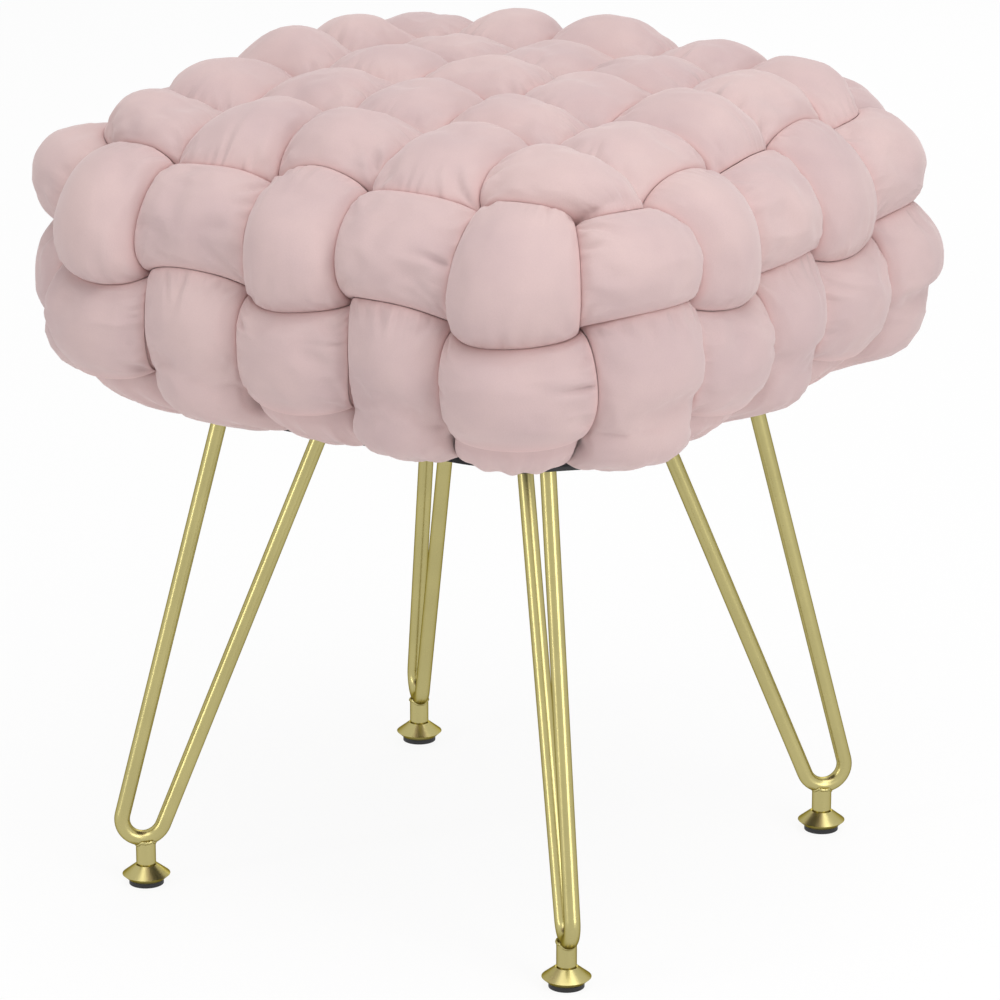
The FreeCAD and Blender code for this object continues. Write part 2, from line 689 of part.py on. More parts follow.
def faceted_solid(sections, closed):
    """Skin a run of sections with flat facets and close it into a solid."""
    faces = []
    pairs = list(zip(sections, sections[1:]))
    if closed:
        pairs.append((sections[-1], sections[0]))
    else:
        for end in (sections[0].points, sections[-1].points):
            middle = sum(end, Vector()) / len(end)
            faces += [facet(a, b, middle) for a, b in zip(end, end[1:] + end[:1])]
    for one, other in pairs:
        for index in range(len(AROUND)):
            faces += quad_facets(one, other, index)
    shell = Part.Shell(faces)
    shell.sewShape()
    solid = Part.Solid(shell)
    if solid.Volume < 0:
        solid.reverse()
    return solid


def make_tube(name, sections, closed=False):
    item = doc.addObject("Part::Feature", name)
    item.Shape = faceted_solid(sections, closed)
    return item


def make_pieces():
    pieces = {"seat_board": make_seat_board(), "base_panel": make_base_panel(),
              "foam_core": make_foam_core(), "insert_nuts": make_insert_nuts(),
              "leg_plate_screws": make_plate_screws()}
    for number, row in enumerate(ROWS, start=1):
        pieces[f"weave_across_{number}"] = make_tube(f"weave_across_{number}",
                                                     woven_tube(row, True))
        pieces[f"weave_along_{number}"] = make_tube(f"weave_along_{number}",
                                                    woven_tube(row, False))
    upper, lower = size("upper_ring_width"), size("lower_ring_width")
    pieces["weave_ring_upper"] = make_tube("weave_ring_upper",
                                           woven_ring(value(EDGE_OF_TOP), upper, True), True)
    pieces["weave_ring_lower"] = make_tube("weave_ring_lower",
                                           woven_ring(value(EDGE_OF_TOP) + upper, lower, False), True)
    for corner in CORNER_ANGLES:
        pieces[f"leg_plate_{corner}"] = make_leg_plate(corner)
        pieces[f"leg_rod_{corner}"] = make_leg_rod(corner)
        pieces[f"leg_post_{corner}"] = make_leg_post(corner)
        pieces[f"foot_disc_{corner}"] = make_foot_disc(corner)
        pieces[f"foot_pad_{corner}"] = make_foot_pad(corner)
    return pieces


parts = make_pieces()
doc.recompute()
for item in doc.Objects:
    if "Invalid" in item.State or "Error" in item.State:
        raise RuntimeError(f"{item.Name} failed: {item.State}")
for name, item in parts.items():
    item.Label = name
    if item.Shape.isNull() or not item.Shape.isValid() or not item.Shape.Solids:
        raise RuntimeError(f"{name} has no valid solid")
os.makedirs("parts", exist_ok=True)
for name, item in parts.items():
    item.Shape.exportStep(f"parts/{name}.step")
    print(f"{name}: {len(item.Shape.Solids)} solids, {item.Shape.Volume / 1000:.2f} cm3")
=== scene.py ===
"""A footstool with a seat woven from stuffed velvet tubes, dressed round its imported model."""

import json
import math
import random

import bmesh
import bpy
import numpy as np
from bpy.props import FloatProperty, FloatVectorProperty, IntProperty, PointerProperty
from bpy.types import Operator, Panel, PropertyGroup
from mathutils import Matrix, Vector, noise

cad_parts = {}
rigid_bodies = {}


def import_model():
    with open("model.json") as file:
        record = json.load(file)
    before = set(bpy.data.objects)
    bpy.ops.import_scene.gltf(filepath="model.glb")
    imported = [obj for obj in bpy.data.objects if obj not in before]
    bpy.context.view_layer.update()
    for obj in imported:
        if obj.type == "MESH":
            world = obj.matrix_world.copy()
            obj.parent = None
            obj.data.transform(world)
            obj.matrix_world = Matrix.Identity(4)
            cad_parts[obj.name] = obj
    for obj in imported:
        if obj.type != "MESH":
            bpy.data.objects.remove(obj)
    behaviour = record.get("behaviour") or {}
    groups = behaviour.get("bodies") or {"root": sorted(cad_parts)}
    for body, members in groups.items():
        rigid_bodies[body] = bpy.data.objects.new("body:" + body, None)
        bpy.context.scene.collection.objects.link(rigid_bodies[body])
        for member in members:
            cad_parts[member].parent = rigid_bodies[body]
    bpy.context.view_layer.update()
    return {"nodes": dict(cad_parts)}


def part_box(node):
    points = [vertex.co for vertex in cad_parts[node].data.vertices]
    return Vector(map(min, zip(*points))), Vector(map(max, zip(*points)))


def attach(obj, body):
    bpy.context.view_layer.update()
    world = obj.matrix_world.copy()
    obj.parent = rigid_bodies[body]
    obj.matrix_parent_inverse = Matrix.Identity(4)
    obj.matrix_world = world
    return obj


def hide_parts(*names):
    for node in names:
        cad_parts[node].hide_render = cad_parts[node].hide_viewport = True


bl_info = {
    "name": "Woven Footstool",
    "version": (1, 0, 0),
    "blender": (4, 5, 0),
    "location": "View3D > Sidebar > Footstool",
    "description": "Weaves the stuffed velvet tubes of a footstool and finishes its metal legs",
    "category": "Object",
}

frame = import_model()

BODY = "seat_and_legs"
CORNERS = {"front_right": (1, -1), "back_right": (1, 1), "back_left": (-1, 1),
           "front_left": (-1, -1)}
ROWS = range(-2, 3)
MM = 0.001
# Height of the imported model's puffs over the creases.
PACKED_PUFF = 35.0
# How high a puff still stands over its shoulders where it runs on down, as a share.
OPEN_HEIGHT = 0.55
# Shares of a cell's and of a tucked end's width that a tube fills, and how much narrower the end
# is drawn in at the seat board.
CELL_FILL, TUCK_FILL, TUCK_NARROWING = 0.996, 0.995, 0.05
# Half the thickness of a tucked end at these shares of its way to the seat board. It starts
# puffed or pressed by the lower ring, and is flat from the edge of the base panel on.
TUCK_SHARES = (0, 0.12, 0.3, 0.5, 0.75, 0.82, 0.88, 1)
PUFFED_TUCK, PRESSED_TUCK, FLAT_TUCK = (19.5, 14, 10), (13, 13, 10.5, 9), (8.5, 6.5, 3.5)
# The puff runs out at this share, and the tuck is modelled from this one on in so many steps.
TUCK_RISE_END, TUCK_FIRST, TUCK_STEPS = 0.45, 0.07, 14
# Over this share of a cell from its pinched end the pile has puckers.
PUCKERED = 0.7
# Stages of the cloth simulation.
CLOTH_FRAMES = 20
# Puffs that are stuffed less or more than the rest, as shares: on top by row and column, on the
# upper ring by side and place, and at the ends of the tubes across the seat by row and side.
STUFFING = {("top", 2, -2): 0.84, ("top", -2, 2): 1.07, ("top", -2, -2): 1.08,
            ("top", -1, -2): 1.14, ("top", 0, -2): 1.16, ("top", 1, -2): 1.14,
            ("top", 2, -1): 1.08, ("top", 2, 0): 1.14, ("ring", 0, 2): 1.06,
            ("ring", 2, 2): 1.2, ("end", -2, -1): 1.15, ("end", 2, 1): 1.04}
# The leg rod and its bottom bend, in millimetres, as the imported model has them.
ROD_RADIUS, BEND_RADIUS, BEND_RISE, BEND_SHIFT = 4.75, 13.0, 15.6, 1.1


def linear(hex_colour):
    """An sRGB hex colour such as "#DDBFBC" as linear red, green and blue."""
    channels = [int(hex_colour[start:start + 2], 16) / 255 for start in (1, 3, 5)]
    return [c / 12.92 if c <= 0.04045 else ((c + 0.055) / 1.055) ** 2.4 for c in channels]


def length(name, default, description):
    return FloatProperty(name=name, description=description, default=default * MM,
                         unit="LENGTH", subtype="DISTANCE", precision=4)


def colour(name, default, description):
    return FloatVectorProperty(name=name, description=description, default=linear(default),
                               size=3, min=0.0, max=1.0, subtype="COLOR")


class FOOTSTOOL_PG_weave(PropertyGroup):
    """Sizes of the woven seat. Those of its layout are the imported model's."""

    pitch: length("Tube Pitch", 68.7, "Between the middles of neighbouring tubes")
    edge_reach: length("Edge Reach", 28.1, "Middle of the last tube to the upper ring")
    edge_overhang: length("Edge Overhang", 23.0, "Sides of the crease surface past the upper ring")
    upper_ring: length("Upper Ring", 52.5, "Width of the upper ring down the side")
    lower_ring: length("Lower Ring", 60.5, "Width of the lower ring down the side")
    edge_radius: length("Edge Radius", 49.0, "Rounding of the top edge under the puffs")
    corner_radius: length("Corner Radius", 76.0, "Rounding of the upright corners under the puffs")
    crown: length("Crown", 14.5, "Rise of the top at its middle")
    top_puff: length("Puffs on Top", 34.0, "Height of the seat's puffs over the creases")
    side_puff: length("Puffs on Sides", 35.5, "Height of the puffs on the sides over the creases")
    shoulder: length("Shoulder", 21.0, "Height of a puff where the next tube dives under it")
    squash: length("Squash Depth", 28.0, "Pressed tube under a crossing")
    gap: length("Tube Gap", 0.2, "Half the gap between tubes at a crossing")
    tuck_end: length("Tucked Thickness", 3.0, "Half the thickness of a tube end at the seat board")
    tuck_height: length("Tuck Height", 4.2, "Middle of the tucked ends over the base panel")
    tuck_gap: length("Tuck Gap", 2.0, "Tucked tube ends to the seat board")
    board_corner: length("Board Corner", 45.0, "Corner radius of the seat board")
    top_bulge: length("Bulge on Top", 3.5, "How far a puff's ends on the top push out")
    side_bulge: length("Bulge on Sides", 7.5, "How far a puff's ends on the sides push up and down")
    ring_bulge: length("Bulge of Rings", 3.0, "How far the rings' puffs push sideways")
    ring_droop: length("Ring Droop", 3.0, "How far the lower ring hangs over the tucked ends")
    waver: length("Waver", 5.0, "How far the hand-laid tubes wander from an even weave")
    cloth_cap: length("Cloth Swell", 4.0, "Most that the cloth simulation may move a cover")
    pleat: length("Pleat Depth", 3.4, "Depth of the pleats where a tube is pinched")
    seed: IntProperty(name="Seed", description="Changes puffs, pleats and waver", default=4)


class FOOTSTOOL_PG_finish(PropertyGroup):
    """Colours of the finishes."""

    velvet: colour("Velvet", "#C8B0AE", "Dusty pink pile, lit from the front")
    # Painted light: a slightly lighter pink that stands in for light bounced into the creases, the
    # tube undersides and the tucked ends.
    velvet_painted_crease_light: colour("Velvet in Creases", "#D0B0AE", "Pile in a crease, lit by the rest")
    gold: colour("Gold", "#B9AF78", "Satin brass-toned plating")
    plate: colour("Leg Plates", "#202022", "Powder coat of the leg plates")
    rubber: colour("Glides", "#17171A", "Moulded glide pads")
    panel: colour("Base Panel", "#1C1C1F", "Black cloth on the base panel")
    plywood: colour("Plywood", "#C9A777", "Seat board")
    foam: colour("Foam", "#E6DCB8", "Foam core")
    zinc: colour("Zinc", "#B9BCC0", "Screws and insert nuts")


class FOOTSTOOL_PG_stage(PropertyGroup):
    """Light and camera."""

    lens: FloatProperty(name="Focal Length", description="Camera focal length", default=0.1879,
                        unit="CAMERA", precision=4)
    floor: colour("Floor", "#F4F4F4", "Plain floor")
    key: FloatProperty(name="Key Light", description="Power of the large overhead light",
                       default=36, unit="POWER")
    fill: FloatProperty(name="Side Lights", description="Power of each light at the sides",
                        default=12, unit="POWER")
    ambient: FloatProperty(name="Room Light", description="Strength of the even light", default=0.5)


# Materials

def node(tree, kind, links=None, stops=(), **settings):
    """Add a node, set its sockets and properties and the stops of its ramp, and link its inputs.
    A node given as a link stands for the first of its outputs that is in use."""
    item = tree.nodes.new("ShaderNode" + kind)
    for key, setting in settings.items():
        if hasattr(item, key):
            setattr(item, key, setting)
        else:
            item.inputs[key.replace("_", " ")].default_value = setting
    for index, (place, shade) in enumerate(stops):
        item.color_ramp.elements[index].position = place
        item.color_ramp.elements[index].color = rgba(shade)
    for name, source in (links or {}).items():
        if isinstance(source, bpy.types.Node):
            source = next(output for output in source.outputs if output.enabled)
        tree.links.new(source, item.inputs[name])
    return item


def new_material(name):
    """An empty material and its node tree."""
    material = bpy.data.materials.new(name)
    material.use_nodes = True
    material.node_tree.nodes.clear()
    return material, material.node_tree


def rgba(values):
    return (*values, 1.0)


def embossed_surface(tree, tones, stops, grain, strength, depth, roughness):
    """Colour a surface through a ramp and emboss its grain."""
    tone = node(tree, "ValToRGB", {"Fac": tones}, stops)
    bump = node(tree, "Bump", {"Height": grain}, Strength=strength, Distance=depth)
    shader = node(tree, "BsdfPrincipled", {"Base Color": tone, "Normal": bump},
                  Roughness=roughness)
    node(tree, "OutputMaterial", {"Surface": shader})


def velvet_material(finish):
    """Polyester velvet, brushed: short pile that lightens where it turns away, with faint
    shading where it was stroked the other way."""
    material, tree = new_material("brushed_polyester_velvet")
    place = node(tree, "TexCoord").outputs["Object"]
    # The crease attribute says where the painted crease light goes.
    crease = node(tree, "Attribute", attribute_name="crease").outputs["Fac"]
    # Stroke marks of the pile are about a hand's width, 60 mm.
    strokes = node(tree, "TexNoise", {"Vector": place}, Scale=1 / 0.06, Detail=3.0, Roughness=0.55)
    pale = [min(1.0, c * 1.05) for c in finish.velvet]
    cool = [finish.velvet[0] * 0.945, finish.velvet[1] * 0.94, finish.velvet[2] * 0.965]
    pile = node(tree, "ValToRGB", {"Fac": strokes}, [(0.35, cool), (0.65, pale)])
    # Single tufts are 0.2 mm wide and are drawn at 0.7 mm, so that they show.
    tufts = node(tree, "TexNoise", {"Vector": place}, Scale=1 / 0.0007, Detail=2.0)
    speckle = node(tree, "ValToRGB", {"Fac": tufts}, [(0.3, [0.965] * 3), (0.7, [1.0] * 3)])
    pile = node(tree, "Mix", {6: pile, 7: speckle}, data_type="RGBA", blend_type="MULTIPLY",
                Factor=1.0)
    # Painted light: towards the creases, and over the undersides and the tucked ends, the pile is
    # mixed with the lighter crease pink, which stands in for light bounced into their shade.
    base = node(tree, "Mix", {"Factor": crease, 6: pile}, data_type="RGBA")
    base.inputs[7].default_value = rgba(finish.velvet_painted_crease_light)
    # Small puckers, 9 mm apart, run with the tube near its pinched ends.
    tube = node(tree, "Attribute", attribute_name="tube_place").outputs["Vector"]
    pinch = node(tree, "Attribute", attribute_name="pinch").outputs["Fac"]
    stretched = node(tree, "Mapping", {"Vector": tube}, Scale=(18, 110, 40))
    puckers = node(tree, "TexNoise", {"Vector": stretched}, Scale=1.0, Detail=1.5)
    amount = node(tree, "Math", {0: puckers, 1: pinch}, operation="MULTIPLY")
    soft = node(tree, "Bump", {"Height": amount}, Strength=0.8, Distance=0.006)
    fine = node(tree, "Bump", {"Height": tufts, "Normal": soft}, Strength=0.25, Distance=0.0004)
    shader = node(tree, "BsdfPrincipled", {"Base Color": base, "Normal": fine}, Roughness=0.92,
                  Sheen_Weight=0.35, Sheen_Roughness=0.45, Sheen_Tint=(1.0, 0.93, 0.92, 1.0))
    shader.inputs["Specular IOR Level"].default_value = 0.15
    node(tree, "OutputMaterial", {"Surface": shader})
    return material


def gold_material(finish):
    """Steel, ground and plated in a satin brass tone: fine grinding marks run round the bar
    and spread its highlights."""
    material, tree = new_material("satin_plated_steel")
    place = node(tree, "TexCoord").outputs["Object"]
    # Belt marks are 0.05 mm apart and are drawn at 0.5 mm, so that they show.
    flat = node(tree, "Mapping", {"Vector": place}, Scale=(120, 120, 2000))
    marks = node(tree, "TexNoise", {"Vector": flat}, Scale=1.0, Detail=2.0)
    clouds = node(tree, "TexNoise", {"Vector": place}, Scale=1 / 0.03, Detail=2.0)
    dull = [c * 0.93 for c in finish.gold]
    tone = node(tree, "ValToRGB", {"Fac": clouds}, [(0.35, dull), (0.65, finish.gold)])
    rough = node(tree, "MapRange", {"Value": marks}, To_Min=0.25, To_Max=0.33)
    bump = node(tree, "Bump", {"Height": marks}, Strength=0.06, Distance=0.0001)
    shader = node(tree, "BsdfPrincipled", {"Base Color": tone, "Normal": bump, "Roughness": rough},
                  Metallic=1.0, Specular_Tint=rgba(linear("#8C7F57")))
    node(tree, "OutputMaterial", {"Surface": shader})
    return material


def powder_coat_material(finish):
    """Steel, powder coated: black with a slight orange peel that breaks up its shine."""
    material, tree = new_material("powder_coated_steel")
    place = node(tree, "TexCoord").outputs["Object"]
    # The dimples of the coat are 0.8 mm apart.
    peel = node(tree, "TexNoise", {"Vector": place}, Scale=1 / 0.0008, Detail=1.0)
    embossed_surface(tree, peel, [(0.3, finish.plate), (0.8, [c * 1.5 for c in finish.plate])],
                     peel, strength=0.25, depth=0.0002, roughness=0.45)
    return material


def rubber_material(finish):
    """Moulded rubber: nearly black and dull, with the fine grain of its mould."""
    material, tree = new_material("moulded_rubber")
    place = node(tree, "TexCoord").outputs["Object"]
    grain = node(tree, "TexNoise", {"Vector": place}, Scale=1 / 0.0006, Detail=2.0)
    embossed_surface(tree, grain, [(0.3, finish.rubber), (0.8, [c * 1.8 for c in finish.rubber])],
                     grain, strength=0.2, depth=0.0002, roughness=0.62)
    return material


def panel_material(finish):
    """Spunbonded dust cloth glued on board: black and matt, with a loose fibre texture."""
    material, tree = new_material("spunbonded_cloth")
    place = node(tree, "TexCoord").outputs["Object"]
    # The bonded dots are 1.2 mm apart.
    dots = node(tree, "TexVoronoi", {"Vector": place}, Scale=1 / 0.0012)
    fibres = node(tree, "TexNoise", {"Vector": place}, Scale=1 / 0.004, Detail=4.0)
    embossed_surface(tree, fibres, [(0.3, finish.panel), (0.75, [c * 1.7 for c in finish.panel])],
                     dots, strength=0.3, depth=0.0003, roughness=0.9)
    return material


def plywood_material(finish):
    """Birch plywood, sawn: pale long grain with thin darker lines."""
    material, tree = new_material("birch_plywood")
    place = node(tree, "TexCoord").outputs["Object"]
    # Grain lines are 2 mm apart and run from side to side.
    flat = node(tree, "Mapping", {"Vector": place}, Scale=(12, 500, 700))
    grain = node(tree, "TexNoise", {"Vector": flat}, Scale=1.0, Detail=4.0)
    dark = [c * 0.72 for c in finish.plywood]
    embossed_surface(tree, grain, [(0.3, dark), (0.7, finish.plywood)],
                     grain, strength=0.2, depth=0.0003, roughness=0.7)
    return material


def foam_material(finish):
    """Polyurethane foam, cut: cream, matt and full of open cells."""
    material, tree = new_material("cut_foam")
    place = node(tree, "TexCoord").outputs["Object"]
    # Open cells are 0.5 mm across and are drawn at 1.5 mm, so that they show.
    cells = node(tree, "TexVoronoi", {"Vector": place}, Scale=1 / 0.0015)
    # Each cell is darker towards its middle: painted shade in the open pore.
    embossed_surface(tree, cells, [(0.0, [c * 0.7 for c in finish.foam]), (0.6, finish.foam)],
                     cells, strength=0.5, depth=0.001, roughness=1.0)
    return material


def zinc_material(finish):
    """Steel, zinc plated: light grey with faint cloudy patches."""
    material, tree = new_material("zinc_plated_steel")
    place = node(tree, "TexCoord").outputs["Object"]
    clouds = node(tree, "TexNoise", {"Vector": place}, Scale=1 / 0.003, Detail=3.0)
    tone = node(tree, "ValToRGB", {"Fac": clouds}, [
        (0.3, [c * 0.85 for c in finish.zinc]), (0.7, finish.zinc)])
    shader = node(tree, "BsdfPrincipled", {"Base Color": tone}, Metallic=1.0, Roughness=0.35)
    node(tree, "OutputMaterial", {"Surface": shader})
    return material


def finish_nodes(names, material):
    """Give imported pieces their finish."""
    for name in names:
        for slot in frame["nodes"][name].material_slots:
            slot.material = material


# The woven seat, in millimetres

def arch(place):
    """A shallow arch over a place from -1 to 1."""
    return np.clip(1 - np.square(place), 0, 1)


def dome(place):
    """A fuller arch, whose feet stand steeply like the sides of a stuffed tube."""
    return 0.7 * arch(place) + 0.3 * np.sqrt(arch(place))


def ridge(place):
    """The line along which two tubes touch: nearly level, and steep where four cells meet."""
    return arch(place) ** 0.45


def round_end(place):
    """How the end of a puff is rounded across the tube."""
    return np.sqrt(arch(place))


class CreaseSurface:
    """The rounded box that the creases lie on: over the top, down the sides and in to the
    seat board."""

    def __init__(self, weave):
        board_low, board_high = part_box("seat_board")
        for name in weave.__annotations__:
            if name != "seed":
                setattr(self, name, getattr(weave, name) / MM)
        self.edge_of_top = 2 * self.pitch + self.edge_reach
        self.edge_of_sides = self.edge_of_top + self.upper_ring + self.lower_ring
        self.half = self.edge_of_top + self.edge_overhang
        self.board_half = board_high.x / MM
        self.run = self.half - self.board_half - self.tuck_gap
        self.tuck_z = board_low.z / MM + self.tuck_height
        self.flat = self.half - self.edge_radius
        self.edge_end = self.flat + self.edge_radius * math.pi / 2
        self.side_drop = self.edge_radius + self.edge_of_sides - self.edge_end
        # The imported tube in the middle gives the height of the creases.
        mesh = frame["nodes"]["weave_across_3"].data
        middle = max(v.co.z for v in mesh.vertices if abs(v.co.x) < 1e-4 and abs(v.co.y) < 1e-4)
        self.top_z = middle / MM - PACKED_PUFF - self.crown

    def profile(self, distance):
        """Reach and drop of the surface, and its slope, at a distance from the middle of the top
        that runs over the edge, down a side and in to the seat board."""
        distance = np.asarray(distance, float)
        slope = np.clip((distance - self.flat) / self.edge_radius, 0, math.pi / 2)
        straight = np.clip(distance - self.edge_end, 0, self.edge_of_sides - self.edge_end)
        reach = np.minimum(distance, self.flat) + self.edge_radius * np.sin(slope)
        drop = self.edge_radius * (1 - np.cos(slope)) + straight
        fall = self.top_z - self.side_drop - self.tuck_z
        way = self.tuck_share(distance) * math.pi / 2
        turned = math.pi / 2 + np.arctan2(self.run * np.sin(way), fall * np.cos(way))
        slope = np.where(distance > self.edge_of_sides, turned, slope)
        return reach - self.run * (1 - np.cos(way)), drop + fall * np.sin(way), slope

    def tuck_share(self, distance):
        """How far a distance has come from the lower ring to the seat board, as a share."""
        return np.clip((np.asarray(distance, float) - self.edge_of_sides) / self.run, 0, 1)

    def corner_centre(self, distance=0.0):
        """Reach of the point that an upright corner turns about."""
        outer = self.half - self.corner_radius
        inner = self.board_half - self.board_corner
        return outer + (inner - outer) * self.tuck_share(distance)

    def crown_rise(self, x, y):
        span = self.half + self.edge_reach
        return self.crown * np.clip(1 - (x / span) ** 2, 0, 1) * np.clip(1 - (y / span) ** 2, 0, 1)

    def at(self, across, along, height):
        """A point at two surface distances from the middle of the top and a height off it, also
        where one of the distances goes over the edge and down a side."""
        across, along, height = np.broadcast_arrays(across, along, height)
        top = self.on_top(across, along, height)
        right = self.on_side(along, np.abs(across), height)
        right = right * np.stack([np.sign(across), np.ones_like(across), np.ones_like(across)], -1)
        back = self.on_side(across, np.abs(along), height)[..., [1, 0, 2]]
        back = back * np.stack([np.ones_like(along), np.sign(along), np.ones_like(along)], -1)
        past_x = (np.abs(across) > self.edge_of_top)[..., None]
        past_y = (np.abs(along) > self.edge_of_top)[..., None]
        return np.where(past_x, right, np.where(past_y, back, top))

    def on_top(self, across, along, height):
        """A point on the top, whose corners are drawn in to the rounding of the sides."""
        inner = self.corner_centre()
        reach = self.profile(self.edge_of_top)[0] - inner
        out_x = self.profile(np.abs(across))[0] - inner
        out_y = self.profile(np.abs(along))[0] - inner
        both = (out_x > 0) & (out_y > 0)
        squared_x = np.where(both, np.clip(out_x / reach, 0, 1) ** 2 / 2, 0)
        squared_y = np.where(both, np.clip(out_y / reach, 0, 1) ** 2 / 2, 0)
        out_x, out_y = out_x * np.sqrt(1 - squared_y), out_y * np.sqrt(1 - squared_x)
        over_x, over_y = np.clip(out_x, 0, None), np.clip(out_y, 0, None)
        beyond = np.hypot(over_x, over_y)
        safe = np.where(beyond > 0, beyond, 1)
        radius = self.edge_radius
        lean = np.clip((inner + beyond - self.half + radius) / radius, 0, 1)
        upright = np.sqrt(1 - lean ** 2)
        x = np.sign(across) * (inner + out_x + height * lean * over_x / safe)
        y = np.sign(along) * (inner + out_y + height * lean * over_y / safe)
        z = self.top_z - radius * (1 - upright) + height * upright
        return np.stack(np.broadcast_arrays(x, y, z + self.crown_rise(x, y)), axis=-1)

    def on_side(self, sideways, distance, height):
        """A point on the right-hand side, round its corners and in under the seat."""
        centre = self.corner_centre(distance)
        reach, drop, slope = self.profile(distance)
        reach = reach + height * np.sin(slope)
        past = self.profile(np.abs(sideways))[0] - self.corner_centre()
        whole = self.profile(self.edge_of_top)[0] - self.corner_centre()
        share = np.clip(past / whole, 0, None)
        angle = np.arcsin(np.minimum(share, 1) * math.sqrt(0.5)) + np.clip(share - 1, 0, None)
        in_corner = past > 0
        x = np.where(in_corner, centre + (reach - centre) * np.cos(angle), reach)
        turned = np.sign(sideways) * (centre + (reach - centre) * np.sin(angle))
        out = np.where(in_corner, turned, sideways * centre / self.corner_centre())
        fade = 1 - np.clip((np.asarray(distance, float) - self.edge_of_top) / self.upper_ring, 0, 1)
        z = self.top_z - drop + height * np.cos(slope)
        return np.stack(np.broadcast_arrays(x, out, z + fade * self.crown_rise(x, out)), axis=-1)

    def across_of_tube(self, row, place):
        """Sideways distance of a place across the tube of a row."""
        outward = (place * row > 0) & (abs(row) == max(ROWS))
        return row * self.pitch + place * np.where(outward, self.edge_reach, self.pitch / 2)


class Puff:
    """What makes one cell of the weave differ from the next."""

    def __init__(self, chance, surface, height):
        self.height = height * chance.uniform(0.94, 1.04)
        self.lean_along = chance.uniform(-0.16, 0.16)
        self.lean_across = chance.uniform(-0.16, 0.16)
        self.pleats = []
        for end in (-1, 1):
            for corner in (-1, 1):
                for _ in range(chance.randint(1, 3)):
                    self.add_pleat(chance, end, corner * chance.uniform(0.72, 1.0),
                                   corner * chance.uniform(15, 60), surface.pleat)
            for _ in range(chance.randint(1, 3)):
                place = chance.uniform(-0.7, 0.7)
                self.add_pleat(chance, end, place, 25 * place + chance.uniform(-12, 12),
                               surface.pleat)

    def add_pleat(self, chance, end, across, turn, depth):
        """A pleat that starts at a pinched end and runs in, turned some degrees inwards."""
        turn = math.radians(turn)
        self.pleats.append((end, across, -end * math.cos(turn), -math.sin(turn),
                            chance.uniform(0.4, 1.15), depth * chance.uniform(0.4, 1.2),
                            chance.uniform(0.055, 0.09)))

    def fold(self, along, across, open_end):
        """Depth of the pleats: each is a valley between two low swells, and fades as it runs in.
        An open end has none."""
        depth = 0
        for end, start, forth, aside, reach, deep, width in self.pleats:
            if end == open_end:
                continue
            run = ((along - end) * forth + (across - start) * aside) / reach
            off = (along - end) * aside - (across - start) * forth
            run = np.clip(run, 0, 1)
            off = off / (width * (0.7 + 1.3 * run))
            valley = np.exp(-off ** 2) - 0.35 * np.exp(-(off / 2.3) ** 2)
            depth = depth + deep * valley * (1 - run) ** 1.3
        to_end = 1 if along * open_end > 0 else 1 - abs(along)
        return depth * min(1, 9 * to_end) * np.minimum(1, 9 * (1 - np.abs(across)))


